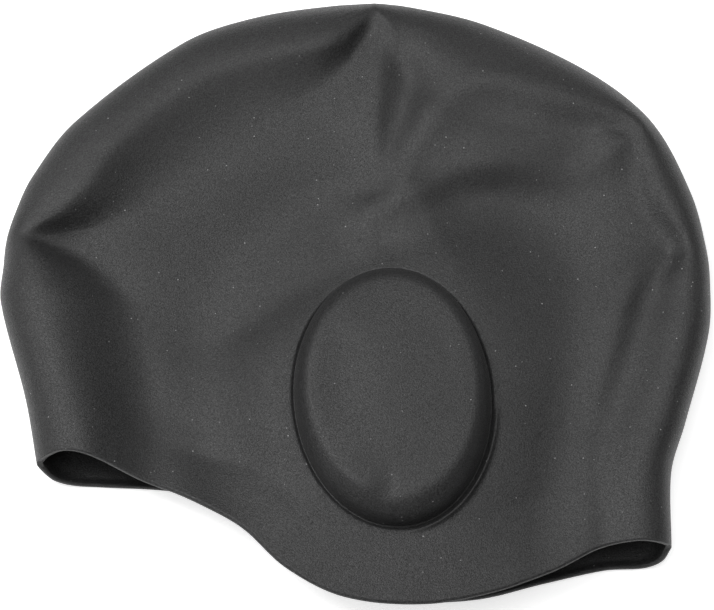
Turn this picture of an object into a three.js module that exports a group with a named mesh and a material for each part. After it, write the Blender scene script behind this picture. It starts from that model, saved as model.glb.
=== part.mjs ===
import * as THREE from "three";

// Moulded silicone swim cap with ear pockets, lying flat on its side.
// Millimetres, +Z up. +X is the nape, -X the forehead, +Y the crown, -Y the mouth the head goes into.
// The cap is one thin shell: an upper and a lower layer that meet along the fold line.

// Wall
const WALL = 1.0;
const RIM_WALL = 1.4;
const RIM_BEAD = 4;

// Ear pockets: one faces up, its twin faces down and carries the cap on its flat bottom.
// The walls reach in to a share of the oval and are rounded over; the upper pocket's top is domed a little.
const POCKET_X = 11.2;
const POCKET_Y = -39;
const POCKET_HALF_WIDTH = 31.3;
const POCKET_HALF_LENGTH = 43.8;
const POCKET_TILT_DEG = 4;
const POCKET_FLAT_SHARE = 0.81;
const POCKET_ROUNDING = 2;
const UPPER_POCKET_RISE = 11;
const UPPER_POCKET_DOME = 0.8;
const LOWER_POCKET_DROP = 9.5;

// Height of the upper layer at the pocket's foot and far from it, and how fast each layer sinks away
const UPPER_FOOT_Z = 17.5;
const UPPER_LOW_Z = 10;
const UPPER_SINK = 42;
const LOWER_SINK = 48;

// The middle of the mouth curls up a little at its edge.
const FLARE_HEIGHT = 5.5;
const FLARE_WIDTH = 24;
const FLARE_POWER = 1.5;

// Fold line, from the back corner of the mouth over the crown to the front corner.
// edge: height of the fold line; roll, top: how far in the roll is highest and how high it is there;
// foot, low: how far in its inner slope ends and how high it is there; fade: how far it then eases out;
// bend: shape of that slope, even at 1, with its steepest part nearer the roll's top below 1.
const FOLD = [
  { at: "mouth_back", x: 99, y: -87, edge: 9, roll: 10, top: 17, foot: 24, low: 15, fade: 22, bend: 1 },
  { at: "nape", x: 100, y: -62, edge: 9, roll: 9, top: 18.5, foot: 25, low: 14.5, fade: 22, bend: 1 },
  { at: "back_low", x: 105, y: -46, edge: 10, roll: 8, top: 19, foot: 26, low: 13.5, fade: 22, bend: 1 },
  { at: "back", x: 114, y: -15, edge: 10, roll: 8, top: 19.5, foot: 26, low: 12.5, fade: 22, bend: 1 },
  { at: "back_mid", x: 115.2, y: 2, edge: 10, roll: 7, top: 19, foot: 22, low: 12.5, fade: 24, bend: 1 },
  { at: "back_kink", x: 114.7, y: 14, edge: 9, roll: 6, top: 18, foot: 12, low: 14, fade: 30, bend: 1 },
  { at: "back_up", x: 110.5, y: 34, edge: 10, roll: 10, top: 19.5, foot: 23, low: 15, fade: 30, bend: 1 },
  { at: "top_kink", x: 98.4, y: 60.4, edge: 9, roll: 7, top: 18.5, foot: 13, low: 16, fade: 30, bend: 0.9 },
  { at: "top_back", x: 77.6, y: 79, edge: 10, roll: 15, top: 20.5, foot: 33, low: 17.5, fade: 32, bend: 0.9 },
  { at: "crown_back", x: 43, y: 97, edge: 10, roll: 21, top: 20.5, foot: 43, low: 17.5, fade: 32, bend: 0.9 },
  { at: "crown_side", x: 17, y: 103.7, edge: 10, roll: 16, top: 19.5, foot: 30, low: 16, fade: 40, bend: 1 },
  { at: "crown", x: 6, y: 104.8, edge: 9, roll: 5, top: 17, foot: 11, low: 14.5, fade: 45, bend: 0.8 },
  { at: "forecrown", x: -9, y: 103.9, edge: 10, roll: 19, top: 20.5, foot: 33, low: 13.5, fade: 50, bend: 0.75 },
  { at: "top_mid", x: -35, y: 99.4, edge: 10, roll: 20, top: 21, foot: 44, low: 14, fade: 48, bend: 0.65 },
  { at: "top_front", x: -59, y: 89.8, edge: 10, roll: 18, top: 21, foot: 46, low: 14, fade: 45, bend: 0.65 },
  { at: "brow_top", x: -94.6, y: 60.2, edge: 10, roll: 19, top: 21, foot: 44, low: 13.5, fade: 45, bend: 0.65 },
  { at: "brow", x: -108.3, y: 39.5, edge: 10, roll: 20, top: 20.5, foot: 39, low: 13, fade: 45, bend: 0.75 },
  { at: "brow_low", x: -112.7, y: 28.6, edge: 9, roll: 16, top: 19, foot: 28, low: 13, fade: 45, bend: 0.85 },
  { at: "front_kink", x: -115.4, y: 19, edge: 8, roll: 5, top: 15, foot: 11, low: 11.5, fade: 45, bend: 0.9 },
  { at: "shoulder", x: -116, y: 8, edge: 9, roll: 12, top: 19.5, foot: 42, low: 9.5, fade: 40, bend: 0.9 },
  { at: "front", x: -116.2, y: -4, edge: 10, roll: 15, top: 21, foot: 48, low: 9, fade: 40, bend: 0.95 },
  { at: "front_low", x: -106.5, y: -38, edge: 10, roll: 13, top: 21, foot: 42, low: 9, fade: 40, bend: 0.95 },
  { at: "mouth_front", x: -102, y: -60, edge: 10, roll: 15, top: 21, foot: 39, low: 9.5, fade: 30, bend: 0.95 },
];
const FOLD_SIZES = ["edge", "roll", "top", "foot", "low", "fade", "bend"];

// Edge of the mouth on each layer, from the front corner to the back corner
const UPPER_RIM = [
  { x: -102, y: -60 },
  { x: -99, y: -59.2 },
  { x: -92, y: -58 },
  { x: -82, y: -59.8 },
  { x: -70, y: -64.3 },
  { x: -52, y: -71.9 },
  { x: -36, y: -81.4 },
  { x: -22, y: -95 },
  { x: -4, y: -104.5 },
  { x: 20, y: -106.9 },
  { x: 42, y: -102.9 },
  { x: 62, y: -95.1 },
  { x: 76, y: -88.2 },
  { x: 86, y: -86.6 },
  { x: 95, y: -86.8 },
  { x: 99, y: -87 },
];
const LOWER_RIM = [
  { x: -102, y: -60 },
  { x: -96, y: -63 },
  { x: -82, y: -64 },
  { x: -60, y: -65.3 },
  { x: -46, y: -68.5 },
  { x: -33, y: -77 },
  { x: -21, y: -90 },
  { x: -4, y: -99.8 },
  { x: 18, y: -103 },
  { x: 38, y: -101.8 },
  { x: 58, y: -96.4 },
  { x: 77, y: -91.8 },
  { x: 90, y: -91 },
  { x: 96.4, y: -89.6 },
  { x: 99, y: -87 },
];

// Soft ridges and, where the height is negative, troughs of the upper layer. left, right: how wide the
// slope is on either side of the way the line runs; round: how rounded its crest is.
const RIDGES = [
  {
    name: "crown_crease",
    left: 8,
    right: 26,
    round: 0.8,
    points: [
      { x: 10, y: 99, height: 2.2 },
      { x: 8, y: 82, height: 3.8 },
      { x: 6.5, y: 62, height: 3.8 },
      { x: 5.8, y: 44, height: 3 },
      { x: 5.5, y: 34, height: 0.5 },
    ],
  },
  {
    name: "crease_hollow",
    left: 6,
    right: 5,
    round: 2,
    points: [
      { x: 13, y: 94, height: -1.5 },
      { x: 16, y: 84, height: -2.8 },
      { x: 16.5, y: 74, height: -3 },
      { x: 15, y: 63, height: -3 },
      { x: 12, y: 55, height: -2.4 },
      { x: 9.5, y: 46, height: -1 },
    ],
  },
  {
    name: "lens_edge",
    left: 6.5,
    right: 8,
    round: 5,
    points: [
      { x: 90, y: 57, height: 0.8 },
      { x: 80, y: 60.3, height: 1.6 },
      { x: 70, y: 63.3, height: 2.2 },
      { x: 60, y: 66.7, height: 2.6 },
      { x: 48, y: 70, height: 2.8 },
      { x: 36, y: 68.5, height: 3 },
      { x: 27.5, y: 62.6, height: 3.8 },
      { x: 22.5, y: 55.7, height: 4.2 },
      { x: 18, y: 48.4, height: 4.2 },
      { x: 14.5, y: 40, height: 3.6 },
      { x: 10, y: 31, height: 1.5 },
    ],
  },
  {
    name: "back_ridge",
    left: 8,
    right: 7,
    round: 3,
    points: [
      { x: 7, y: 28, height: 3.4 },
      { x: 14, y: 31, height: 4.6 },
      { x: 20.6, y: 34, height: 5 },
      { x: 30.5, y: 39, height: 5 },
      { x: 43.7, y: 41.3, height: 4.8 },
      { x: 56.8, y: 40.8, height: 4 },
      { x: 69.9, y: 40, height: 3.2 },
      { x: 79.8, y: 43, height: 3.8 },
      { x: 86.6, y: 48.6, height: 4.4 },
      { x: 92, y: 53.5, height: 2 },
    ],
  },
  {
    name: "back_hump",
    left: 6,
    right: 24,
    round: 3,
    points: [
      { x: 99, y: 13, height: 1 },
      { x: 90, y: 3, height: 3.8 },
      { x: 85, y: -8, height: 4.2 },
      { x: 81, y: -22, height: 3.2 },
      { x: 76, y: -36, height: 1.6 },
      { x: 72, y: -48, height: 0 },
    ],
  },
  {
    name: "valley",
    left: 28,
    right: 12,
    round: 7,
    points: [
      { x: -64, y: -22, height: 0 },
      { x: -50, y: -17, height: -2.6 },
      { x: -36, y: -10, height: -4.2 },
      { x: -20, y: 0, height: -4.8 },
      { x: -2, y: 9, height: -4.8 },
      { x: 10, y: 15, height: -4 },
      { x: 24, y: 22, height: -1 },
    ],
  },
  {
    name: "low_step",
    left: 4,
    right: 7,
    round: 2,
    points: [
      { x: -68, y: -50, height: 0 },
      { x: -50, y: -57, height: -1.1 },
      { x: -34, y: -61, height: -1.2 },
      { x: -24, y: -70, height: -1.1 },
      { x: -16, y: -77, height: 0 },
    ],
  },
];

// The ridges fade out this close to the fold line.
const RIDGE_FADE = 8;

// Centre of the finished cap in plan, which becomes the origin
const PLAN_CENTRE_X = -0.55;
const PLAN_CENTRE_Y = -1.23;

// Mesh density: around the fold line, around the mouth, and inward across each zone
const FOLD_COLUMNS = 44;
const RIM_COLUMNS = 28;
const ROLL_RINGS = 4;
const SLOPE_RINGS = 3;
const MIDDLE_RINGS = 6;
const RIM_ROLL = 5;
const RIM_SLOPE = 14;

// Where on the pocket's oval the columns from the two corners of the mouth end
const BACK_ANGLE = -22;
const FRONT_ANGLE = 150;
const WALL_RINGS = 3;

const mix = (a, b, t) => a + (b - a) * t;
const clamp = (v, lo, hi) => Math.min(hi, Math.max(lo, v));

function ease(t) {
  const k = clamp(t, 0, 1);
  return k * k * (3 - 2 * k);
}

// Smooth plan curve through the points, with the length along it at every step
function curveThrough(points, steps) {
  const line = [];
  const last = points.length - 1;
  const gap = (p, q) => Math.hypot(q.x - p.x, q.y - p.y);
  const mirror = (p, q) => ({ x: 2 * p.x - q.x, y: 2 * p.y - q.y });
  for (let i = 0; i < last; i += 1) {
    const b = points[i];
    const c = points[i + 1];
    const a = i > 0 ? points[i - 1] : mirror(b, c);
    const d = i + 2 <= last ? points[i + 2] : mirror(c, b);
    const span = gap(b, c);
    const startScale = span / (gap(a, b) + span);
    const endScale = span / (span + gap(c, d));
    const at = (key, t) => {
      const m1 = (c[key] - a[key]) * startScale;
      const m2 = (d[key] - b[key]) * endScale;
      const t2 = t * t;
      const t3 = t2 * t;
      return (2 * t3 - 3 * t2 + 1) * b[key] + (t3 - 2 * t2 + t) * m1
        + (3 * t2 - 2 * t3) * c[key] + (t3 - t2) * m2;
    };
    for (let k = 0; k < steps; k += 1) {
      line.push({ x: at("x", k / steps), y: at("y", k / steps), row: i + k / steps });
    }
  }
  line.push({ x: points[last].x, y: points[last].y, row: last });
  line[0].along = 0;
  for (let i = 1; i < line.length; i += 1) {
    line[i].along = line[i - 1].along + gap(line[i - 1], line[i]);
  }
  return line;
}

// Point of a curve at a given length
function pointAt(line, along) {
  let i = 1;
  while (i < line.length - 1 && line[i].along < along) {
    i += 1;
  }
  const p = line[i - 1];
  const q = line[i];
  const t = clamp((along - p.along) / (q.along - p.along), 0, 1);
  return { x: mix(p.x, q.x, t), y: mix(p.y, q.y, t), row: mix(p.row, q.row, t) };
}

// Nearest point of a curve: distance, row position, and offset to the left of the way it runs
function nearestOn(line, x, y) {
  let best = { distance: Infinity, row: 0, offset: 0 };
  for (let i = 1; i < line.length; i += 1) {
    const p = line[i - 1];
    const q = line[i];
    const dx = q.x - p.x;
    const dy = q.y - p.y;
    const t = clamp(((x - p.x) * dx + (y - p.y) * dy) / (dx * dx + dy * dy), 0, 1);
    const distance = Math.hypot(x - p.x - t * dx, y - p.y - t * dy);
    if (distance < best.distance) {
      const offset = (dx * (y - p.y) - dy * (x - p.x)) / Math.hypot(dx, dy);
      best = { distance, row: mix(p.row, q.row, t), offset };
    }
  }
  return best;
}

// A column of a table at a fractional row
function columnAt(rows, key, row) {
  const i = Math.min(rows.length - 2, Math.floor(row));
  return mix(rows[i][key], rows[i + 1][key], row - i);
}

const foldLine = curveThrough(FOLD, 12);
const foldLength = foldLine[foldLine.length - 1].along;
const upperRimLine = curveThrough(UPPER_RIM, 8);
const lowerRimLine = curveThrough(LOWER_RIM, 8);

function foldSizesAtRow(row) {
  const sizes = {};
  for (const key of FOLD_SIZES) {
    sizes[key] = columnAt(FOLD, key, row);
  }
  return sizes;
}

// The fold line carried on straight past both corners of the mouth, to measure distances from
function withStraightEnds(line, reach) {
  const past = (p, q) => {
    const length = Math.hypot(p.x - q.x, p.y - q.y);
    return { x: p.x + ((p.x - q.x) / length) * reach, y: p.y + ((p.y - q.y) / length) * reach, row: p.row };
  };
  const last = line.length - 1;
  return [past(line[0], line[1]), ...line, past(line[last], line[last - 1])];
}
const edgeLine = withStraightEnds(foldLine, 30);

// Fold sizes carried by points every few millimetres of the fold line
const FOLD_STEP = 3;
const foldSamples = [];
for (let i = 0; i <= Math.round(foldLength / FOLD_STEP); i += 1) {
  const p = pointAt(foldLine, (foldLength * i) / Math.round(foldLength / FOLD_STEP));
  foldSamples.push({ x: p.x, y: p.y, sizes: foldSizesAtRow(p.row) });
}

// Distance in from the fold line, and the fold sizes blended over the nearer stretch of it
function foldAt(x, y) {
  const distance = nearestOn(edgeLine, x, y).distance;
  const reach = 0.6 + 0.0016 * distance ** 2;
  const sum = { edge: 0, roll: 0, top: 0, foot: 0, low: 0, fade: 0, bend: 0 };
  let total = 0;
  for (const sample of foldSamples) {
    const weight = Math.exp((distance - Math.hypot(x - sample.x, y - sample.y)) / reach);
    total += weight;
    for (const key of FOLD_SIZES) {
      sum[key] += weight * sample.sizes[key];
    }
  }
  for (const key of FOLD_SIZES) {
    sum[key] /= total;
  }
  return { distance, ...sum };
}

const tilt = THREE.MathUtils.degToRad(POCKET_TILT_DEG);

// Share of the pocket's oval a point lies at (1 on its foot), how far outside the foot it is, and how far
// up the wall, 0 on the foot and 1 on the flat
function pocketAt(x, y) {
  const dx = x - POCKET_X;
  const dy = y - POCKET_Y;
  const u = (Math.cos(tilt) * dx + Math.sin(tilt) * dy) / POCKET_HALF_WIDTH;
  const v = (Math.cos(tilt) * dy - Math.sin(tilt) * dx) / POCKET_HALF_LENGTH;
  const share = Math.hypot(u, v);
  const slope = Math.hypot(u / POCKET_HALF_WIDTH, v / POCKET_HALF_LENGTH) / Math.max(share, 1e-6);
  const outside = share > 1 ? (share - 1) / slope : 0;
  const across = clamp((1 - share) / (1 - POCKET_FLAT_SHARE), 0, 1);
  const climb = (1 - (1 - across) ** POCKET_ROUNDING) ** (1 / POCKET_ROUNDING);
  return { share, outside, climb };
}

// Point of the pocket's oval at an angle, drawn in or out by a share
function pocketPoint(angle, share) {
  const u = POCKET_HALF_WIDTH * Math.cos(angle) * share;
  const v = POCKET_HALF_LENGTH * Math.sin(angle) * share;
  return {
    x: POCKET_X + Math.cos(tilt) * u - Math.sin(tilt) * v,
    y: POCKET_Y + Math.sin(tilt) * u + Math.cos(tilt) * v,
  };
}

const ridgeLines = RIDGES.map((ridge) => curveThrough(ridge.points, 8));

function ridgeHeight(x, y) {
  let height = 0;
  RIDGES.forEach((ridge, i) => {
    const near = nearestOn(ridgeLines[i], x, y);
    const leftward = 0.5 + 0.5 * clamp(near.offset / 2, -1, 1);
    const width = mix(ridge.right, ridge.left, leftward);
    const soft = Math.hypot(near.distance, ridge.round) - ridge.round;
    height += columnAt(ridge.points, "height", near.row) * Math.exp(-soft / width);
  });
  return height;
}

function upperZ(x, y) {
  const fold = foldAt(x, y);
  const pocket = pocketAt(x, y);
  const d = fold.distance;
  const base = mix(UPPER_FOOT_Z, UPPER_LOW_Z, ease(pocket.outside / UPPER_SINK));
  let z = mix(fold.low, base, ease((d - fold.foot) / fold.fade));
  if (d < fold.roll) {
    z = mix(fold.edge, fold.top, Math.sqrt(1 - (1 - d / fold.roll) ** 2));
  } else if (d < fold.foot) {
    const t = ((d - fold.roll) / (fold.foot - fold.roll)) ** fold.bend;
    z = mix(fold.low, fold.top, (1 + Math.cos(Math.PI * t)) / 2);
  }
  const dome = UPPER_POCKET_DOME * (1 - ease(pocket.share / POCKET_FLAT_SHARE));
  const fromRim = nearestOn(upperRimLine, x, y).distance;
  const flare = ease((d - 20) / 30) * clamp(1 - fromRim / FLARE_WIDTH, 0, 1) ** FLARE_POWER;
  const pocketRise = UPPER_POCKET_RISE * pocket.climb + dome;
  return z + pocketRise + FLARE_HEIGHT * flare + ease(d / RIDGE_FADE) * ridgeHeight(x, y);
}

function lowerZ(x, y) {
  const fold = foldAt(x, y);
  const pocket = pocketAt(x, y);
  const curl = clamp(1 - fold.distance / Math.max(fold.roll, 7), 0, 1);
  const inward = Math.sqrt(1 - curl * curl);
  const base = mix(LOWER_POCKET_DROP, 0, ease(pocket.outside / LOWER_SINK));
  return base * inward + fold.edge * (1 - inward) - LOWER_POCKET_DROP * pocket.climb;
}

// Even steps from 0 to 1, drawn together towards both ends
function gathered(count, pull) {
  const steps = [];
  for (let i = 0; i <= count; i += 1) {
    const t = i / count;
    steps.push(t - (pull * Math.sin(2 * Math.PI * t)) / (2 * Math.PI));
  }
  return steps;
}

// Columns of one layer, outline inwards to the pocket's oval. Each column holds its rings as plan points.
// The rings keep to the roll's top and foot; where the mouth cuts these off they follow its edge.
function layerColumns(rimLine) {
  const columns = [];
  const addColumn = (start, angle, sizes, onRim) => {
    const foot = pocketPoint(angle, 1);
    const length = Math.hypot(foot.x - start.x, foot.y - start.y);
    const along = (d) => ({ x: mix(start.x, foot.x, d / length), y: mix(start.y, foot.y, d / length) });
    const foldDistance = (p) => nearestOn(edgeLine, p.x, p.y).distance;
    const startDistance = onRim ? foldDistance(start) : 0;
    const climb = Math.max(0.6, (foldDistance(along(5)) - startDistance) / 5);
    const ring = (fromFold, fromRim) => {
      const step = onRim ? fromRim : 0;
      return Math.min(length * 0.75, Math.max(step, (fromFold - startDistance) / climb));
    };
    const inward = [];
    for (let k = 0; k <= ROLL_RINGS; k += 1) {
      const bend = 1 - Math.cos((Math.PI / 2) * (k / ROLL_RINGS));
      inward.push(ring(sizes.roll * bend, RIM_ROLL * bend));
    }
    for (let k = 1; k <= SLOPE_RINGS; k += 1) {
      const t = k / SLOPE_RINGS;
      inward.push(ring(mix(sizes.roll, sizes.foot, t), mix(RIM_ROLL, RIM_SLOPE, t)));
    }
    const slopeEnd = inward[inward.length - 1];
    for (let k = 1; k <= MIDDLE_RINGS; k += 1) {
      inward.push(mix(slopeEnd, length, 1 - (1 - k / MIDDLE_RINGS) ** 1.3));
    }
    const rings = inward.map(along);
    for (let k = 1; k <= WALL_RINGS; k += 1) {
      const share = mix(POCKET_FLAT_SHARE, 1, Math.cos((Math.PI / 2) * (k / WALL_RINGS)));
      rings.push(pocketPoint(angle, share));
    }
    rings.push(pocketPoint(angle, POCKET_FLAT_SHARE * 0.5));
    columns.push({ rings, onRim });
  };

  const radians = THREE.MathUtils.degToRad;
  for (const t of gathered(FOLD_COLUMNS, 0.35)) {
    const start = pointAt(foldLine, t * foldLength);
    addColumn(start, radians(mix(BACK_ANGLE, FRONT_ANGLE, t)), foldSizesAtRow(start.row), false);
  }
  const rimLength = rimLine[rimLine.length - 1].along;
  for (const t of gathered(RIM_COLUMNS, 0.6).slice(1, -1)) {
    const corner = foldSizesAtRow(t < 0.5 ? FOLD.length - 1 : 0);
    const angle = radians(mix(FRONT_ANGLE, BACK_ANGLE + 360, t));
    addColumn(pointAt(rimLine, t * rimLength), angle, corner, true);
  }
  return columns;
}

// Wall thickness: fuller along the mouth's edge
function wallAt(rimLine, x, y) {
  return mix(RIM_WALL, WALL, ease(nearestOn(rimLine, x, y).distance / RIM_BEAD));
}

// Outer skin: the points of both layers, sharing the fold line, with the wall at each, and its triangles
function outerSkin() {
  const points = [];
  const walls = [];
  const triangles = [];
  const upper = layerColumns(upperRimLine);
  const lower = layerColumns(lowerRimLine);
  const ringCount = upper[0].rings.length;
  const addPoint = (x, y, z, rimLine) => {
    walls.push(wallAt(rimLine, x, y));
    return points.push(new THREE.Vector3(x, y, z)) - 1;
  };
  const addPoints = (columns, height, rimLine, shared) =>
    columns.map((column, i) =>
      column.rings.map((p, ring) => {
        if (shared && ring === 0 && !column.onRim) {
          return shared[i][0];
        }
        const z = ring === 0 && !column.onRim ? foldAt(p.x, p.y).edge : height(p.x, p.y);
        return addPoint(p.x, p.y, z, rimLine);
      }),
    );
  const upperIds = addPoints(upper, upperZ, upperRimLine);
  const lowerIds = addPoints(lower, lowerZ, lowerRimLine, upperIds);

  const addLayer = (ids, height, rimLine, facing) => {
    const centre = addPoint(POCKET_X, POCKET_Y, height(POCKET_X, POCKET_Y), rimLine);
    const face = (a, b, c) => triangles.push(facing > 0 ? [a, b, c] : [a, c, b]);
    ids.forEach((column, i) => {
      const next = ids[(i + 1) % ids.length];
      for (let ring = 0; ring + 1 < ringCount; ring += 1) {
        face(column[ring], next[ring], next[ring + 1]);
        face(column[ring], next[ring + 1], column[ring + 1]);
      }
      face(column[ringCount - 1], next[ringCount - 1], centre);
    });
  };
  addLayer(upperIds, upperZ, upperRimLine, 1);
  addLayer(lowerIds, lowerZ, lowerRimLine, -1);

  // Edge of the mouth: along the upper layer to the back corner, then back along the lower one
  const rimIds = (ids) => ids.slice(FOLD_COLUMNS + 1).map((column) => column[0]);
  const frontCorner = upperIds[FOLD_COLUMNS][0];
  const backCorner = upperIds[0][0];
  const rim = [frontCorner, ...rimIds(upperIds), backCorner, ...rimIds(lowerIds).reverse()];
  return { points, walls, triangles, rim };
}

// Outward direction at every point, from the triangles around it
function outwardDirections(points, triangles) {
  const directions = points.map(() => new THREE.Vector3());
  for (const [a, b, c] of triangles) {
    const ab = new THREE.Vector3().subVectors(points[b], points[a]);
    const ac = new THREE.Vector3().subVectors(points[c], points[a]);
    const normal = ab.cross(ac);
    for (const id of [a, b, c]) {
      directions[id].add(normal);
    }
  }
  return directions.map((direction) => direction.normalize());
}

// The shell: the outer skin, the same skin set in by the wall, and the strip round the mouth's edge
function buildShell() {
  const { points, walls, triangles, rim } = outerSkin();
  const outward = outwardDirections(points, triangles);
  const inner = points.map((p, i) => p.clone().addScaledVector(outward[i], -walls[i]));
  const shift = points.length;
  const index = triangles.flat();
  for (const [a, b, c] of triangles) {
    index.push(a + shift, c + shift, b + shift);
  }
  rim.forEach((id, i) => {
    const next = rim[(i + 1) % rim.length];
    index.push(id, id + shift, next + shift, id, next + shift, next);
  });
  const geometry = new THREE.BufferGeometry();
  geometry.setFromPoints([...points, ...inner]);
  geometry.setIndex(index);
  geometry.computeVertexNormals();
  return geometry;
}

const silicone = new THREE.MeshStandardMaterial({ color: 0x1f1f20, roughness: 0.62, metalness: 0 });
const cap = new THREE.Mesh(buildShell(), silicone);
cap.name = "moulded_cap";
cap.position.set(-PLAN_CENTRE_X, -PLAN_CENTRE_Y, 0);

const group = new THREE.Group();
group.name = "swim_cap";
group.add(cap);

export default group;
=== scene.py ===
import math

import bpy
import numpy as np
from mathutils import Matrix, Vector


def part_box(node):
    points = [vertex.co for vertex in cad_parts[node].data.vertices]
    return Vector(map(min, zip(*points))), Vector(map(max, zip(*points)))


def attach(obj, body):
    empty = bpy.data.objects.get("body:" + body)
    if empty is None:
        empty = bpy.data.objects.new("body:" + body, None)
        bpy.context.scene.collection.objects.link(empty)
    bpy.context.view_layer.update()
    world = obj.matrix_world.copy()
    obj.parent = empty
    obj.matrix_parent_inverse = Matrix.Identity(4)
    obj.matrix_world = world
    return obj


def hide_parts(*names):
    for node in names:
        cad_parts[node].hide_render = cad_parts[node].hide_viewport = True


# A moulded silicone swim cap with ear pockets, lying flat on its side on a pale table.
# The cap is one thin shell. Its tables are in millimetres in the cap's own plan: +X nape, +Y crown, +Z up.

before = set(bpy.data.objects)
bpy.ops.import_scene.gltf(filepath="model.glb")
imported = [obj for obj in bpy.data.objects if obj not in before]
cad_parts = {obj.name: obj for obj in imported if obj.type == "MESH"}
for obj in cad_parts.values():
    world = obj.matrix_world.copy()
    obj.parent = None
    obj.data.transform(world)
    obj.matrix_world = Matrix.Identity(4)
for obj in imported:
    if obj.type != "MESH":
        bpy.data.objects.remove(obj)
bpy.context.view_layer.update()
cap_low, cap_high = (Vector(corner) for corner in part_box("moulded_cap"))

MM = 0.001

# Wall, and the fuller rounded bead along the mouth's edge
WALL = 1.0
RIM_WALL = 2.0
RIM_BEAD = 2.6

# Ear pockets: one faces up, its twin faces down and carries the cap. The walls reach in to a share of the
# oval and are rounded over; the upper pocket's top is domed a little.
POCKET_CENTRE = (11.2, -39.0)
POCKET_RADII = (31.3, 43.8)
POCKET_TILT = math.radians(4)
POCKET_FLAT_SHARE = 0.81
POCKET_ROUNDING = 2.0
UPPER_POCKET_RISE = 11.0
UPPER_POCKET_DOME = 0.8
LOWER_POCKET_DROP = 9.5

# Height of the upper layer at the pocket's foot and far from it, and how fast each layer sinks away
UPPER_FOOT_Z = 17.5
UPPER_LOW_Z = 10.0
UPPER_SINK = 42.0
LOWER_SINK = 48.0

# The middle of the mouth curls up a little at its edge. The curl begins FLARE_START in from the fold line and
# grows to its full height over FLARE_EASE.
FLARE_HEIGHT = 5.5
FLARE_WIDTH = 24.0
FLARE_POWER = 1.5
FLARE_START = 20.0
FLARE_EASE = 30.0

# The lower layer curls up to the fold line over the roll's width, but over this much at least.
LOWER_CURL = 7.0

# Fold line, from the back corner of the mouth over the crown to the front corner.
# edge: height of the fold line; roll, top: how far in the roll is highest and how high it is there;
# foot, low: how far in its inner slope ends and how high it is there; fade: how far it then eases out;
# bend: shape of that slope, even at 1, with its steepest part nearer the roll's top below 1.
FOLD_COLUMNS = ("x", "y", "edge", "roll", "top", "foot", "low", "fade", "bend")
FOLD = {
    "mouth_back": (99, -87, 9, 10, 17, 24, 15, 22, 1),
    "nape": (100, -62, 9, 9, 18.5, 25, 14.5, 22, 1),
    "back_low": (105, -46, 10, 8, 19, 26, 13.5, 22, 1),
    "back": (114, -15, 10, 8, 19.5, 26, 12.5, 22, 1),
    "back_mid": (115.2, 2, 10, 7, 19, 22, 12.5, 24, 1),
    "back_kink": (114.7, 14, 9, 6, 18, 12, 14, 30, 1),
    "back_up": (110.5, 34, 10, 10, 19.5, 23, 15, 30, 1),
    "top_kink": (98.4, 60.4, 9, 7, 18.5, 13, 16, 30, 0.9),
    "top_back": (77.6, 79, 10, 15, 20.5, 33, 17.5, 32, 0.9),
    "crown_back": (43, 97, 10, 21, 20.5, 43, 17.5, 32, 0.9),
    "crown_side": (17, 103.7, 10, 16, 19.5, 30, 16, 40, 1),
    "crown": (6, 104.8, 9, 5, 17, 11, 14.5, 45, 0.8),
    "forecrown": (-9, 103.9, 10, 19, 20.5, 33, 13.5, 50, 0.75),
    "top_mid": (-35, 99.4, 10, 20, 21, 44, 14, 48, 0.65),
    "top_front": (-59, 89.8, 10, 18, 21, 46, 14, 45, 0.65),
    "brow_top": (-94.6, 60.2, 10, 19, 21, 44, 13.5, 45, 0.65),
    "brow": (-108.3, 39.5, 10, 20, 20.5, 39, 13, 45, 0.75),
    "brow_low": (-112.7, 28.6, 9, 16, 19, 28, 13, 45, 0.85),
    "front_kink": (-115.4, 19, 8, 5, 15, 11, 11.5, 45, 0.9),
    "shoulder": (-116, 8, 9, 12, 19.5, 42, 9.5, 40, 0.9),
    "front": (-116.2, -4, 10, 15, 21, 48, 9, 40, 0.95),
    "front_low": (-106.5, -38, 10, 13, 21, 42, 9, 40, 0.95),
    "mouth_front": (-102, -60, 10, 15, 21, 39, 9.5, 30, 0.95),
}

# Edge of the mouth on each layer, from the front corner to the back corner: x, y
UPPER_RIM = [
    (-102, -60), (-99, -59.2), (-92, -58), (-82, -59.8), (-70, -64.3), (-52, -71.9), (-36, -81.4), (-22, -95),
    (-4, -104.5), (20, -106.9), (42, -102.9), (62, -95.1), (76, -88.2), (86, -86.6), (95, -86.8), (99, -87),
]
LOWER_RIM = [
    (-102, -60), (-96, -63), (-82, -64), (-60, -65.3), (-46, -68.5), (-33, -77), (-21, -90), (-4, -99.8),
    (18, -103), (38, -101.8), (58, -96.4), (77, -91.8), (90, -91), (96.4, -89.6), (99, -87),
]

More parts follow.
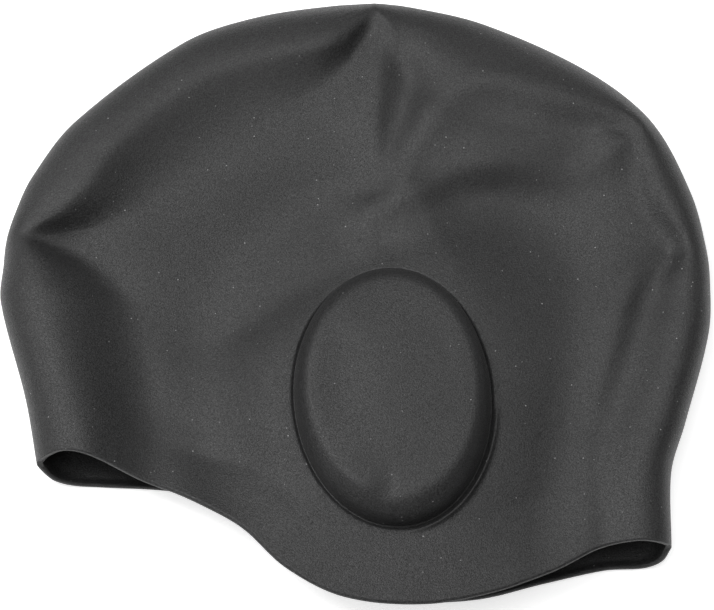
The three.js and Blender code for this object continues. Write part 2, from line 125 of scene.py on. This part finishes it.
# Soft ridges and, where the height is negative, troughs of the upper layer. left, right: how wide the
# slope is on either side of the way the line runs; round: how rounded its crest is; points: x, y, height
RIDGES = {
    "crown_crease": dict(left=8, right=26, round=0.8, points=[
        (10, 99, 2.2), (8, 82, 3.8), (6.5, 62, 3.8), (5.8, 44, 3), (5.5, 34, 0.5)]),
    "crease_hollow": dict(left=6, right=5, round=2, points=[
        (13, 94, -1.5), (16, 84, -2.8), (16.5, 74, -3), (15, 63, -3), (12, 55, -2.4), (9.5, 46, -1)]),
    "lens_edge": dict(left=6.5, right=8, round=5, points=[
        (90, 57, 0.8), (80, 60.3, 1.6), (70, 63.3, 2.2), (60, 66.7, 2.6), (48, 70, 2.8), (36, 68.5, 3),
        (27.5, 62.6, 3.8), (22.5, 55.7, 4.2), (18, 48.4, 4.2), (14.5, 40, 3.6), (10, 31, 1.5)]),
    "back_ridge": dict(left=8, right=7, round=3, points=[
        (7, 28, 3.4), (14, 31, 4.6), (20.6, 34, 5), (30.5, 39, 5), (43.7, 41.3, 4.8), (56.8, 40.8, 4),
        (69.9, 40, 3.2), (79.8, 43, 3.8), (86.6, 48.6, 4.4), (92, 53.5, 2)]),
    "back_hump": dict(left=6, right=24, round=3, points=[
        (99, 13, 1), (90, 3, 3.8), (85, -8, 4.2), (81, -22, 3.2), (76, -36, 1.6), (72, -48, 0)]),
    "valley": dict(left=28, right=12, round=7, points=[
        (-64, -22, 0), (-50, -17, -2.6), (-36, -10, -4.2), (-20, 0, -4.8), (-2, 9, -4.8), (10, 15, -4),
        (24, 22, -1)]),
    "low_step": dict(left=4, right=7, round=2, points=[
        (-68, -50, 0), (-50, -57, -1.1), (-34, -61, -1.2), (-24, -70, -1.1), (-16, -77, 0)]),
}

# The ridges fade out within RIDGE_FADE of the fold line. RIDGE_TURN to either side of the crest, a ridge has
# the full width of that side.
RIDGE_FADE = 8.0
RIDGE_TURN = 2.0

# Fine relief of the upper pocket, in the same form: a shallow trough down its top, and a small fold and a
# dent where its lower wall begins
POCKET_MARKS = {
    "top_trough": dict(left=5, right=4, round=2, points=[
        (-3, -18, 0), (-4.4, -26, -0.7), (-5.1, -37, -0.9), (-4.1, -49, -0.6), (-3, -56, 0)]),
    "wall_fold": dict(left=2.5, right=3, round=1, points=[
        (-9, -62, 0), (-3, -68.5, 0.7), (3, -73, 0.9), (7, -75.5, 0)]),
    "wall_dent": dict(left=3, right=3, round=1, points=[(11, -69, 0), (10, -74.5, -1.1), (12, -78.5, -0.6)]),
}

# A narrow groove runs round the upper pocket's foot. Outside it, a thin raised lip runs along the lower
# right side, LIP_OUT from the foot. It reaches LIP_SPREAD to either side of LIP_ANGLE, its middle.
GROOVE_DEPTH = 0.95
GROOVE_WIDTH = 0.7
LIP_HEIGHT = 1.2
LIP_WIDTH = 0.65
LIP_OUT = 2.0
LIP_ANGLE = math.radians(-48)
LIP_SPREAD = math.radians(40)

# Fold sizes are carried by points this far apart along the fold line, and blended over a stretch of it that
# grows with the distance in. For distances, the line is carried on straight past both of its ends.
FOLD_STEP = 2.5
BLEND_START = 0.6
BLEND_GROWTH = 0.0016
EDGE_REACH = 30.0

# Short steps of a curve between two of its points
FOLD_CURVE_STEPS = 16
CURVE_STEPS = 8

# Mesh density: columns along the fold line and along the mouth, and how far each set is drawn together
# towards its ends
FOLD_STEPS = 230
FOLD_PULL = 0.35
RIM_STEPS = 150
RIM_PULL = 0.6

# Rings across the roll, its inner slope, the middle, the surroundings of the pocket's foot (each ring's
# distance from it), the pocket's wall and top, and the bead along the mouth's edge
ROLL_RINGS = 9
SLOPE_RINGS = 10
MIDDLE_RINGS = 20
FOOT_RINGS = (4.2, 3.4, 2.8, 2.4, 2.0, 1.6, 1.2, 0.8, 0.4, 0)
WALL_RINGS = 9
TOP_RINGS = 7
BEAD_RINGS = 3

# Columns that start on the mouth's edge: how far in their roll and slope rings end. All columns: how far
# outside the pocket's foot the middle rings end, and how much closer together they get there
RIM_ROLL = 5.0
RIM_SLOPE = 14.0
MIDDLE_END = 5.0
MIDDLE_POWER = 1.3

# How fast a column leaves the fold line is measured over PROBE and is LEAST_CLIMB at least. Its roll and
# slope rings take up MOST_INWARD of its length at most.
PROBE = 5.0
LEAST_CLIMB = 0.6
MOST_INWARD = 0.75

# Where on the pocket's oval the columns from the two corners of the mouth end
BACK_ANGLE = math.radians(-22)
FRONT_ANGLE = math.radians(150)


def ease(t):
    k = np.clip(t, 0, 1)
    return k * k * (3 - 2 * k)


def curve_through(points, steps):
    """Smooth plan curve through the points: its points and the row position at each of them."""
    points = np.asarray(points, float)[:, :2]
    line = []
    rows = []
    last = len(points) - 1
    for i in range(last):
        b, c = points[i], points[i + 1]
        a = points[i - 1] if i > 0 else 2 * b - c
        d = points[i + 2] if i + 2 <= last else 2 * c - b
        span = np.linalg.norm(c - b)
        m1 = (c - a) * span / (np.linalg.norm(b - a) + span)
        m2 = (d - b) * span / (span + np.linalg.norm(d - c))
        for k in range(steps):
            t = k / steps
            line.append((2 * t**3 - 3 * t**2 + 1) * b + (t**3 - 2 * t**2 + t) * m1
                        + (3 * t**2 - 2 * t**3) * c + (t**3 - t**2) * m2)
            rows.append(i + t)
    return np.array(line + [points[last]]), np.array(rows + [last])


def lengths_along(line):
    return np.concatenate([[0], np.cumsum(np.linalg.norm(np.diff(line, axis=0), axis=1))])


def nearest_on(line, values, x, y):
    """Distance to the curve, the value at its nearest point, and how far left of the way it runs."""
    best = np.full(x.shape, np.inf)
    value = np.zeros(x.shape)
    offset = np.zeros(x.shape)
    for (px, py), (qx, qy), start, end in zip(line[:-1], line[1:], values[:-1], values[1:]):
        dx, dy = qx - px, qy - py
        t = np.clip(((x - px) * dx + (y - py) * dy) / (dx * dx + dy * dy), 0, 1)
        distance = np.hypot(x - px - t * dx, y - py - t * dy)
        nearer = distance < best
        best[nearer] = distance[nearer]
        value[nearer] = (start + t * (end - start))[nearer]
        offset[nearer] = ((dx * (y - py) - dy * (x - px)) / math.hypot(dx, dy))[nearer]
    return best, value, offset


def distance_to(line, x, y):
    return nearest_on(line, np.zeros(len(line)), x, y)[0]


fold_table = np.array(list(FOLD.values()), float)
fold_line, fold_rows = curve_through(fold_table, FOLD_CURVE_STEPS)
fold_along = lengths_along(fold_line)
fold_length = fold_along[-1]
upper_rim, _ = curve_through(UPPER_RIM, CURVE_STEPS)
lower_rim, _ = curve_through(LOWER_RIM, CURVE_STEPS)


def fold_sizes_at_row(row):
    columns = fold_table[:, 2:]
    return np.stack([np.interp(row, np.arange(len(columns)), column) for column in columns.T], axis=-1)


def with_straight_ends(line, reach):
    """The curve carried on straight past both ends."""
    first = line[0] + (line[0] - line[1]) / np.linalg.norm(line[0] - line[1]) * reach
    last = line[-1] + (line[-1] - line[-2]) / np.linalg.norm(line[-1] - line[-2]) * reach
    return np.vstack([first, line, last])


edge_line = with_straight_ends(fold_line, EDGE_REACH)
sample_along = np.linspace(0, fold_length, round(fold_length / FOLD_STEP) + 1)
sample_points = np.stack([np.interp(sample_along, fold_along, fold_line[:, i]) for i in (0, 1)], axis=1)
sample_sizes = fold_sizes_at_row(np.interp(sample_along, fold_along, fold_rows))


def fold_at(x, y):
    """Distance in from the fold line, and the fold sizes blended over the nearer stretch of it."""
    distance = distance_to(edge_line, x, y)
    reach = BLEND_START + BLEND_GROWTH * distance**2
    total = np.zeros(x.shape)
    sizes = np.zeros(x.shape + (sample_sizes.shape[1],))
    for (px, py), row in zip(sample_points, sample_sizes):
        weight = np.exp((distance - np.hypot(x - px, y - py)) / reach)
        total += weight
        sizes += weight[:, None] * row
    return distance, dict(zip(FOLD_COLUMNS[2:], (sizes / total[:, None]).T))


def pocket_at(x, y):
    """Share of the pocket's oval, distance outside its foot, how far up the wall, and angle round the oval.

    The share is 1 on the foot, the distance is negative inside it, and the wall runs from 0 to 1.
    """
    dx, dy = x - POCKET_CENTRE[0], y - POCKET_CENTRE[1]
    u = (math.cos(POCKET_TILT) * dx + math.sin(POCKET_TILT) * dy) / POCKET_RADII[0]
    v = (math.cos(POCKET_TILT) * dy - math.sin(POCKET_TILT) * dx) / POCKET_RADII[1]
    share = np.hypot(u, v)
    slope = np.hypot(u / POCKET_RADII[0], v / POCKET_RADII[1]) / np.maximum(share, 1e-6)
    outside = (share - 1) / np.maximum(slope, 1e-6)
    across = np.clip((1 - share) / (1 - POCKET_FLAT_SHARE), 0, 1)
    climb = (1 - (1 - across) ** POCKET_ROUNDING) ** (1 / POCKET_ROUNDING)
    return share, outside, climb, np.arctan2(v, u)


def pocket_point(angle, share):
    u = POCKET_RADII[0] * np.cos(angle) * share
    v = POCKET_RADII[1] * np.sin(angle) * share
    return (POCKET_CENTRE[0] + math.cos(POCKET_TILT) * u - math.sin(POCKET_TILT) * v,
            POCKET_CENTRE[1] + math.sin(POCKET_TILT) * u + math.cos(POCKET_TILT) * v)


def ridge_height(ridge, x, y):
    points = ridge["points"]
    line, rows = curve_through(points, CURVE_STEPS)
    distance, row, offset = nearest_on(line, rows, x, y)
    leftward = 0.5 + 0.5 * np.clip(offset / RIDGE_TURN, -1, 1)
    width = ridge["right"] + (ridge["left"] - ridge["right"]) * leftward
    height = np.interp(row, np.arange(len(points)), [point[2] for point in points])
    soft = np.hypot(distance, ridge["round"]) - ridge["round"]
    return height * np.exp(-soft / width)


def upper_z(x, y):
    d, fold = fold_at(x, y)
    share, outside, climb, angle = pocket_at(x, y)
    base = UPPER_FOOT_Z + (UPPER_LOW_Z - UPPER_FOOT_Z) * ease(outside / UPPER_SINK)
    lift = np.sqrt(np.clip(1 - (1 - d / fold["roll"]) ** 2, 0, 1))
    roll = fold["edge"] + (fold["top"] - fold["edge"]) * lift
    t = np.clip((d - fold["roll"]) / (fold["foot"] - fold["roll"]), 0, 1) ** fold["bend"]
    slope = fold["low"] + (fold["top"] - fold["low"]) * (1 + np.cos(np.pi * t)) / 2
    middle = fold["low"] + (base - fold["low"]) * ease((d - fold["foot"]) / fold["fade"])
    z = np.where(d < fold["roll"], roll, np.where(d < fold["foot"], slope, middle))
    z += UPPER_POCKET_RISE * climb + UPPER_POCKET_DOME * (1 - ease(share / POCKET_FLAT_SHARE))
    flare = np.clip(1 - distance_to(upper_rim, x, y) / FLARE_WIDTH, 0, 1) ** FLARE_POWER
    z += FLARE_HEIGHT * ease((d - FLARE_START) / FLARE_EASE) * flare
    for ridge in RIDGES.values():
        z += ease(d / RIDGE_FADE) * ridge_height(ridge, x, y)
    for mark in POCKET_MARKS.values():
        z += ridge_height(mark, x, y) * (share < 1)
    lip = np.clip(1 - np.abs((angle - LIP_ANGLE) / LIP_SPREAD), 0, 1) ** 0.5
    z += LIP_HEIGHT * lip * np.exp(-((outside - LIP_OUT) / LIP_WIDTH) ** 2)
    z -= GROOVE_DEPTH * np.exp(-(outside / GROOVE_WIDTH) ** 2)
    return z


def lower_z(x, y):
    d, fold = fold_at(x, y)
    _, outside, climb, _ = pocket_at(x, y)
    curl = np.clip(1 - d / np.maximum(fold["roll"], LOWER_CURL), 0, 1)
    inward = np.sqrt(1 - curl**2)
    base = LOWER_POCKET_DROP * (1 - ease(outside / LOWER_SINK))
    return base * inward + fold["edge"] * (1 - inward) - LOWER_POCKET_DROP * climb


def gathered(count, pull):
    """Even steps from 0 to 1, drawn together towards both ends."""
    t = np.linspace(0, 1, count + 1)
    return t - pull * np.sin(2 * np.pi * t) / (2 * np.pi)


def layer_plan(rim_line):
    """Plan points of one layer, rings by columns, from the outline in to the top of the pocket."""
    fold_t = gathered(FOLD_STEPS, FOLD_PULL)
    rim_t = gathered(RIM_STEPS, RIM_PULL)[1:-1]
    on_rim = np.concatenate([np.zeros(len(fold_t), bool), np.ones(len(rim_t), bool)])
    rim_along = lengths_along(rim_line)
    start = np.vstack([
        np.stack([np.interp(fold_t * fold_length, fold_along, fold_line[:, i]) for i in (0, 1)], axis=1),
        np.stack([np.interp(rim_t * rim_along[-1], rim_along, rim_line[:, i]) for i in (0, 1)], axis=1),
    ])
    fold_sizes = fold_sizes_at_row(np.interp(fold_t * fold_length, fold_along, fold_rows))
    corner_sizes = np.where((rim_t < 0.5)[:, None], fold_table[-1, 2:], fold_table[0, 2:])
    sizes = dict(zip(FOLD_COLUMNS[2:], np.vstack([fold_sizes, corner_sizes]).T))
    angle = np.concatenate([
        BACK_ANGLE + (FRONT_ANGLE - BACK_ANGLE) * fold_t,
        FRONT_ANGLE + (BACK_ANGLE + 2 * math.pi - FRONT_ANGLE) * rim_t,
    ])
    foot = np.stack(pocket_point(angle, 1), axis=1)
    length = np.linalg.norm(foot - start, axis=1)
    start_distance = np.where(on_rim, distance_to(edge_line, start[:, 0], start[:, 1]), 0)
    probe = start + (foot - start) * (PROBE / length)[:, None]
    gained = distance_to(edge_line, probe[:, 0], probe[:, 1]) - start_distance
    climb = np.maximum(LEAST_CLIMB, gained / PROBE)

    def ring(from_fold, from_rim):
        step = np.where(on_rim, from_rim, 0)
        return np.minimum(length * MOST_INWARD, np.maximum(step, (from_fold - start_distance) / climb))

    inward = []
    for k in range(ROLL_RINGS + 1):
        bend = 1 - math.cos(math.pi / 2 * k / ROLL_RINGS)
        inward.append(ring(sizes["roll"] * bend, RIM_ROLL * bend))
    for k in range(1, SLOPE_RINGS + 1):
        t = k / SLOPE_RINGS
        from_fold = sizes["roll"] + (sizes["foot"] - sizes["roll"]) * t
        inward.append(ring(from_fold, RIM_ROLL + (RIM_SLOPE - RIM_ROLL) * t))
    slope_end = inward[-1]
    for k in range(1, MIDDLE_RINGS + 1):
        share = 1 - (1 - k / MIDDLE_RINGS) ** MIDDLE_POWER
        inward.append(slope_end + (length - MIDDLE_END - slope_end) * share)
    inward += [length - distance for distance in FOOT_RINGS]
    rings = [start + (foot - start) * (d / length)[:, None] for d in inward]
    for k in range(1, WALL_RINGS + 1):
        share = POCKET_FLAT_SHARE + (1 - POCKET_FLAT_SHARE) * math.cos(math.pi / 2 * k / WALL_RINGS)
        rings.append(np.stack(pocket_point(angle, share), axis=1))
    for k in range(1, TOP_RINGS):
        rings.append(np.stack(pocket_point(angle, POCKET_FLAT_SHARE * (1 - k / TOP_RINGS)), axis=1))
    return np.array(rings), len(fold_t)


def outer_skin():
    """Points of both layers, which share the fold line, their faces, and the point loop round the mouth."""
    upper, fold_count = layer_plan(upper_rim)
    lower, _ = layer_plan(lower_rim)
    ring_count, column_count, _ = upper.shape
    upper_ids = np.arange(ring_count * column_count).reshape(ring_count, column_count)
    lower_ids = upper_ids + upper_ids.size
    lower_ids[0, :fold_count] = upper_ids[0, :fold_count]
    points = []
    for plan, height in ((upper, upper_z), (lower, lower_z)):
        flat = plan.reshape(-1, 2)
        points.append(np.column_stack([flat, height(flat[:, 0], flat[:, 1])]))
    x, y = (np.array([value]) for value in POCKET_CENTRE)
    points += [np.array([[x[0], y[0], height(x, y)[0]]]) for height in (upper_z, lower_z)]
    points = np.vstack(points)
    centres = (len(points) - 2, len(points) - 1)
    faces = []
    for ids, centre, up in ((upper_ids, centres[0], True), (lower_ids, centres[1], False)):
        after = np.roll(ids, -1, axis=1)
        quads = np.stack([ids[:-1], after[:-1], after[1:], ids[1:]], axis=-1).reshape(-1, 4)
        caps = np.stack([ids[-1], after[-1], np.full(column_count, centre)], axis=-1)
        faces += [tuple(face if up else face[::-1]) for face in quads]
        faces += [tuple(face if up else face[::-1]) for face in caps]
    rim = list(upper_ids[0, fold_count - 1:]) + [upper_ids[0, 0]] + list(lower_ids[0, fold_count:][::-1])
    behind = list(upper_ids[1, fold_count - 1:]) + [upper_ids[1, 0]] + list(lower_ids[1, fold_count:][::-1])
    return points, faces, np.array(rim), np.array(behind)


def outward_directions(points, faces):
    directions = np.zeros_like(points)
    for size in (3, 4):
        ids = np.array([face for face in faces if len(face) == size])
        corners = points[ids]
        normal = np.cross(corners[:, 1] - corners[:, 0], corners[:, 2] - corners[:, 0])
        if size == 4:
            normal += np.cross(corners[:, 2] - corners[:, 0], corners[:, 3] - corners[:, 0])
        for k in range(size):
            np.add.at(directions, ids[:, k], normal)
    return directions / np.maximum(np.linalg.norm(directions, axis=1), 1e-9)[:, None]


def build_cap():
    """The cap as one closed mesh: outer skin, inner skin, and a rounded bead round the mouth's edge."""
    points, faces, rim, behind = outer_skin()
    outward = outward_directions(points, faces)

    # The upper layer's points come first, then the lower layer's, then the middle of each pocket.
    upper_count = (len(points) - 2) // 2
    is_upper = np.arange(len(points)) < upper_count
    is_upper[-2] = True
    from_rim = np.where(
        is_upper,
        distance_to(upper_rim, points[:, 0], points[:, 1]),
        distance_to(lower_rim, points[:, 0], points[:, 1]),
    )
    wall = RIM_WALL + (WALL - RIM_WALL) * ease(from_rim / RIM_BEAD)
    inner = points - outward * wall[:, None]
    all_points = [points, inner]
    shift = len(points)
    all_faces = list(faces) + [tuple(i + shift for i in face[::-1]) for face in faces]

    # The bead runs from the outer to the inner skin in half a circle round the mouth's edge.
    loops = [rim]
    middle = (points[rim] + inner[rim]) / 2
    away = points[rim] - points[behind]
    away /= np.linalg.norm(away, axis=1)[:, None]
    half = (points[rim] - inner[rim]) / 2
    out = away * np.linalg.norm(half, axis=1)[:, None]
    count = 2 * shift
    for k in range(1, BEAD_RINGS + 1):
        a = math.pi * k / (BEAD_RINGS + 1)
        all_points.append(middle + math.cos(a) * half + math.sin(a) * out)
        loops.append(np.arange(count, count + len(rim)))
        count += len(rim)
    loops.append(rim + shift)
    for near, far in zip(loops[:-1], loops[1:]):
        near_next, far_next = np.roll(near, -1), np.roll(far, -1)
        all_faces += [tuple(face) for face in np.stack([near, far, far_next, near_next], axis=-1)]
    all_points = np.vstack(all_points)

    # The lower layer's own copies of the points on the fold line are in no face and are left out.
    used = np.unique(np.concatenate([np.ravel(face) for face in all_faces]))
    renumber = np.zeros(len(all_points), int)
    renumber[used] = np.arange(len(used))
    all_points = all_points[used]
    all_faces = [tuple(int(renumber[i]) for i in face) for face in all_faces]

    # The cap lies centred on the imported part.
    plan_centre = (all_points[:, :2].min(axis=0) + all_points[:, :2].max(axis=0)) / 2
    cad_centre = np.array([cap_low.x + cap_high.x, cap_low.y + cap_high.y]) / 2
    all_points = all_points * MM
    all_points[:, :2] += cad_centre - plan_centre * MM
    mesh = bpy.data.meshes.new("swim_cap")
    mesh.from_pydata(all_points.tolist(), [], all_faces)
    mesh.update()
    mesh.shade_smooth()
    cap = bpy.data.objects.new("swim_cap", mesh)
    bpy.context.scene.collection.objects.link(cap)
    return cap


# Surface: its black and the dust's grey, and the fineness, per metre, of its grain in tone, gloss and
# relief, of the broad clouds in its tone, and of the cells that can each hold a speck of dust
BLACK = (0.014, 0.014, 0.0143, 1)
DUST = (0.3, 0.3, 0.3, 1)
TONE_GRAIN = 2100
GLOSS_GRAIN = 1800
RELIEF_GRAIN = 2200
CLOUDS = 60
DUST_CELLS = 330


def silicone_material():
    """Matt black silicone: fine mottled grain, faint cloudy patches and a few specks of dust."""
    material = bpy.data.materials.new("black_silicone")
    material.use_nodes = True
    nodes, links = material.node_tree.nodes, material.node_tree.links
    shader = nodes["Principled BSDF"]
    shader.inputs["IOR"].default_value = 1.5
    shader.inputs["Sheen Weight"].default_value = 0.04
    shader.inputs["Sheen Roughness"].default_value = 0.5
    where = nodes.new("ShaderNodeTexCoord").outputs["Object"]

    def noise(scale, detail, roughness=0.5):
        node = nodes.new("ShaderNodeTexNoise")
        node.inputs["Scale"].default_value = scale
        node.inputs["Detail"].default_value = detail
        node.inputs["Roughness"].default_value = roughness
        links.new(where, node.inputs["Vector"])
        return node.outputs["Fac"]

    def spread(value, low, high, start=0.3, end=0.7):
        node = nodes.new("ShaderNodeMapRange")
        node.inputs["From Min"].default_value = start
        node.inputs["From Max"].default_value = end
        node.inputs["To Min"].default_value = low
        node.inputs["To Max"].default_value = high
        links.new(value, node.inputs["Value"])
        return node.outputs["Result"]

    def product(a, b):
        node = nodes.new("ShaderNodeMath")
        node.operation = "MULTIPLY"
        links.new(a, node.inputs[0])
        links.new(b, node.inputs[1])
        return node.outputs["Value"]

    grain = noise(TONE_GRAIN, 2, 0.7)
    clouds = noise(CLOUDS, 5, 0.6)
    tone = product(spread(grain, 0, 2, 0.35, 0.65), spread(clouds, 0.88, 1.12))
    dust_cells = nodes.new("ShaderNodeTexVoronoi")
    dust_cells.inputs["Scale"].default_value = DUST_CELLS
    links.new(where, dust_cells.inputs["Vector"])
    speck = spread(dust_cells.outputs["Distance"], 1, 0, 0.04, 0.09)
    chosen = nodes.new("ShaderNodeSeparateColor")
    links.new(dust_cells.outputs["Color"], chosen.inputs["Color"])
    dust = product(speck, spread(chosen.outputs["Red"], 0, 1, 0.45, 0.95))

    base = nodes.new("ShaderNodeMix")
    base.data_type = "RGBA"
    base.blend_type = "MULTIPLY"
    base.inputs["Factor"].default_value = 1
    base.inputs["A"].default_value = BLACK
    links.new(tone, base.inputs["B"])
    dusted = nodes.new("ShaderNodeMix")
    dusted.data_type = "RGBA"
    dusted.inputs["B"].default_value = DUST
    links.new(dust, dusted.inputs["Factor"])
    links.new(base.outputs["Result"], dusted.inputs["A"])
    links.new(dusted.outputs["Result"], shader.inputs["Base Color"])
    links.new(spread(noise(GLOSS_GRAIN, 2, 0.7), 0.38, 0.68), shader.inputs["Roughness"])

    bump = nodes.new("ShaderNodeBump")
    bump.inputs["Strength"].default_value = 0.9
    bump.inputs["Distance"].default_value = 0.0002
    links.new(noise(RELIEF_GRAIN, 2, 0.6), bump.inputs["Height"])
    links.new(bump.outputs["Normal"], shader.inputs["Normal"])
    return material


def table_material():
    """Plain pale matt table with a very faint unevenness."""
    material = bpy.data.materials.new("pale_table")
    material.use_nodes = True
    nodes, links = material.node_tree.nodes, material.node_tree.links
    shader = nodes["Principled BSDF"]
    shader.inputs["Roughness"].default_value = 0.9
    shader.inputs["Specular IOR Level"].default_value = 0.1
    shader.inputs["Emission Color"].default_value = (1, 1, 1, 1)
    shader.inputs["Emission Strength"].default_value = 0.57
    cloud = nodes.new("ShaderNodeTexNoise")
    cloud.inputs["Scale"].default_value = 3
    ramp = nodes.new("ShaderNodeValToRGB")
    ramp.color_ramp.elements[0].color = (0.93, 0.93, 0.93, 1)
    ramp.color_ramp.elements[1].color = (0.95, 0.95, 0.95, 1)
    links.new(nodes.new("ShaderNodeTexCoord").outputs["Object"], cloud.inputs["Vector"])
    links.new(cloud.outputs["Fac"], ramp.inputs["Fac"])
    links.new(ramp.outputs["Color"], shader.inputs["Base Color"])
    return material


# Half the side of the square table, in metres
FLOOR_HALF = 3.0


def add_floor():
    half = FLOOR_HALF
    mesh = bpy.data.meshes.new("floor")
    corners = [(-half, -half, 0), (half, -half, 0), (half, half, 0), (-half, half, 0)]
    mesh.from_pydata(corners, [], [(0, 1, 2, 3)])
    floor = bpy.data.objects.new("floor", mesh)
    mesh.materials.append(table_material())
    bpy.context.scene.collection.objects.link(floor)


def direction(azimuth, elevation):
    """Unit vector from the cap towards a compass angle: 0 is in front of the mouth, 90 on the nape's side."""
    a, e = math.radians(azimuth), math.radians(elevation)
    return Vector((math.sin(a) * math.cos(e), -math.cos(a) * math.cos(e), math.sin(e)))


# Soft studio light: distance and width in metres, then azimuth, elevation and watts of each round lamp, and
# the strength of the even light from all round
LAMP_DISTANCE = 1.6
LAMP_SIZE = 0.9
LAMPS = [
    (240, 58, 14.4),
    (270, 40, 3.6),
    (315, 45, 3.6),
    (0, 86, 4.6),
    (180, 62, 2.9),
    (0, 50, 2.0),
    (90, 62, 0.8),
    (135, 62, 2.4),
    (135, 32, 1.6),
]
AMBIENT = 0.02


def add_lights():
    for i, (azimuth, elevation, watts) in enumerate(LAMPS):
        lamp = bpy.data.lights.new("lamp_%d" % i, "AREA")
        lamp.shape = "DISK"
        lamp.size = LAMP_SIZE
        lamp.energy = watts
        holder = bpy.data.objects.new(lamp.name, lamp)
        towards = direction(azimuth, elevation)
        holder.location = towards * LAMP_DISTANCE
        holder.rotation_mode = "QUATERNION"
        holder.rotation_quaternion = (-towards).to_track_quat("-Z", "Y")
        bpy.context.scene.collection.objects.link(holder)
    world = bpy.data.worlds.new("studio")
    world.use_nodes = True
    world.node_tree.nodes["Background"].inputs["Color"].default_value = (1, 1, 1, 1)
    world.node_tree.nodes["Background"].inputs["Strength"].default_value = AMBIENT
    bpy.context.scene.world = world
    bpy.context.scene.view_settings.view_transform = "Standard"


# Camera: steeply from above the mouth's side, close enough for the cap to fill the picture; lengths in metres
IMAGE_WIDTH = 714
CAMERA_ELEVATION = 68
CAMERA_DISTANCE = 0.9
CAMERA_TARGET = (0.00055, -0.00427, 0.012)
MM_PER_PIXEL = 0.3249


def add_camera():
    data = bpy.data.cameras.new("camera")
    data.sensor_width = 36
    data.lens = CAMERA_DISTANCE / (MM_PER_PIXEL * MM * IMAGE_WIDTH) * data.sensor_width
    camera = bpy.data.objects.new("camera", data)
    back = direction(0, CAMERA_ELEVATION)
    camera.location = Vector(CAMERA_TARGET) + back * CAMERA_DISTANCE
    camera.rotation_mode = "QUATERNION"
    camera.rotation_quaternion = (-back).to_track_quat("-Z", "Y")
    bpy.context.scene.collection.objects.link(camera)
    bpy.context.scene.camera = camera


add_camera()
add_lights()
add_floor()
cap = build_cap()
cap.data.materials.append(silicone_material())
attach(cap, "root")
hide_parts("moulded_cap")
